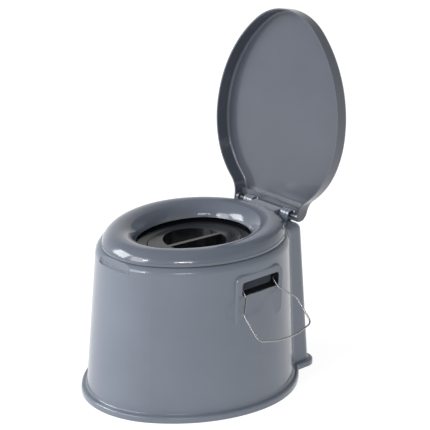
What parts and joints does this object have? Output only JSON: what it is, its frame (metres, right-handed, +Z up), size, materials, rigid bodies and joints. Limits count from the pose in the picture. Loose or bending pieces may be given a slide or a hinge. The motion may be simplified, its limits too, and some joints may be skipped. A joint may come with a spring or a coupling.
{
  "type": "portable bucket toilet",
  "caption": "Moulded camping toilet: oval casing with hinged seat and lid, a lift-out lidded bucket inside and a swing-out wire roll holder on one side.",
  "frame": {"origin": "on the floor, at the middle of the casing's foot", "axes": "+X to the right-hand side with the roll holder, -Y to the front, +Y to the hinge side, +Z up"},
  "size_m": [0.4099, 0.4571, 0.6442],
  "materials": {
    "casing": "moulded, satin gloss, blue-grey",
    "seat": "moulded, gloss, blue-grey",
    "lid": "moulded, satin gloss, blue-grey",
    "bucket": "moulded, satin gloss, black",
    "pins": "moulded, satin, dark grey",
    "wire": "drawn, bright zinc plated"
  },
  "bodies": {
    "body": {"body_shell": "casing", "hinge_pin_right": "pins", "hinge_pin_left": "pins", "bucket": "bucket", "bucket_bail": "wire"},
    "seat": {"seat": "seat"},
    "lid": {"lid": "lid"},
    "bucket_lid": {"bucket_lid": "bucket"},
    "roll_holder": {"roll_holder": "wire"}
  },
  "joints": [
    {"name": "seat_hinge", "type": "hinge", "parent": "body", "child": "seat", "pos_m": [0, 0.182, 0.2826], "axis": [-1, 0, 0], "range_deg": [0, 95]},
    {"name": "lid_hinge", "type": "hinge", "parent": "seat", "child": "lid", "pos_m": [0, 0.182, 0.2826], "axis": [-1, 0, 0], "range_deg": [-94.5, 0]},
    {"name": "bucket_lid_lift", "type": "slide", "parent": "body", "child": "bucket_lid", "axis": [0, 0, 1], "range_m": [0, 0.13]},
    {"name": "roll_holder_swing", "type": "hinge", "parent": "body", "child": "roll_holder", "pos_m": [0.1467, 0.0095, 0.2259], "axis": [0, -1, 0], "range_deg": [0, 84]}
  ]
}
